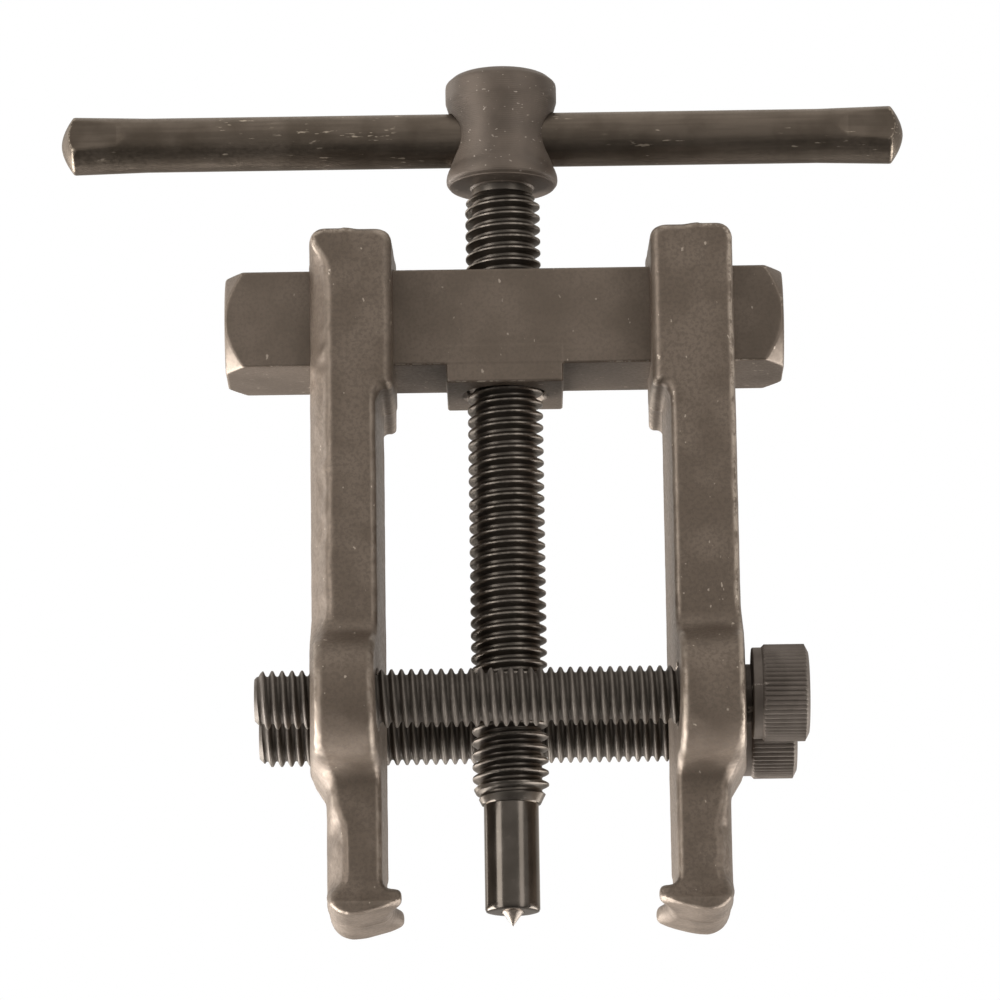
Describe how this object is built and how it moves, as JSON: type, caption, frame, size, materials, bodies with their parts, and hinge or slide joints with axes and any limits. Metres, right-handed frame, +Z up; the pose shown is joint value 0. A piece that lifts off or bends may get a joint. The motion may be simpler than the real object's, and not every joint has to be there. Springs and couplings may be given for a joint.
{
  "type": "gear puller",
  "caption": "Small hand gear puller: sliding hooked jaws on a crossbar, clamp screws that close them, and a forcing screw with tommy bar and centre point.",
  "frame": {"origin": "centre of the pilot's end face at the lower end of the forcing screw", "axes": "+Z up along the forcing screw towards the tommy bar, +X along the crossbar towards the clamp screws' heads, +Y to the rear"},
  "size_m": [0.088, 0.0332, 0.0897],
  "materials": {
    "crossbar_steel": "black oxide on a milled bar, edges worn brighter",
    "screw_steel": "oiled black oxide on a turned and threaded bar",
    "hardened_point": "ground hardened steel, blackened",
    "tommy_bar_steel": "black oxide on drawn bar, scratched",
    "forged_steel": "black oxide on a fine-grained forging, edges worn brighter",
    "clamp_screw_steel": "black oxide on a knurled socket head screw"
  },
  "bodies": {
    "crossbar": {"crossbar": "crossbar_steel"},
    "centre_point": {"centre_point": "hardened_point"},
    "spindle": {"spindle": "screw_steel"},
    "tommy_bar": {"tommy_bar": "tommy_bar_steel"},
    "left_arm": {"left_arm": "forged_steel"},
    "right_arm": {"right_arm": "forged_steel"},
    "front_bolt": {"front_bolt": "clamp_screw_steel"},
    "rear_bolt": {"rear_bolt": "clamp_screw_steel"}
  },
  "joints": [
    {"name": "spindle_feed", "type": "slide", "parent": "crossbar", "child": "centre_point", "axis": [0, 0, 1], "range_m": [-0.0086, 0.0401]},
    {"name": "spindle_turn", "type": "hinge", "parent": "centre_point", "child": "spindle", "pos_m": [0, 0, 0], "axis": [0, 0, 1], "range_deg": [-2448, 11520]},
    {"name": "tommy_bar_slide", "type": "slide", "parent": "spindle", "child": "tommy_bar", "axis": [1, 0, 0], "range_m": [-0.0295, 0.0335]},
    {"name": "right_arm_slide", "type": "slide", "parent": "crossbar", "child": "right_arm", "axis": [1, 0, 0], "range_m": [-0.004, 0.004]},
    {"name": "left_arm_slide", "type": "slide", "parent": "crossbar", "child": "left_arm", "axis": [1, 0, 0], "range_m": [-0.004, 0.004]},
    {"name": "front_bolt_turn", "type": "hinge", "parent": "right_arm", "child": "front_bolt", "pos_m": [0.02435, -0.0101, 0.02025], "axis": [1, 0, 0], "range_deg": [-2881, 2881]},
    {"name": "rear_bolt_turn", "type": "hinge", "parent": "right_arm", "child": "rear_bolt", "pos_m": [0.02398, 0.0101, 0.02025], "axis": [1, 0, 0], "range_deg": [-2881, 2881]}
  ],
  "couplings": [
    {"joint": "spindle_feed", "follows": "spindle_turn", "m_per_rad": 0.00019894},
    {"joint": "left_arm_slide", "follows": "right_arm_slide", "ratio": -1},
    {"joint": "front_bolt_turn", "follows": "right_arm_slide", "rad_per_m": 12566},
    {"joint": "rear_bolt_turn", "follows": "right_arm_slide", "rad_per_m": 12566}
  ]
}
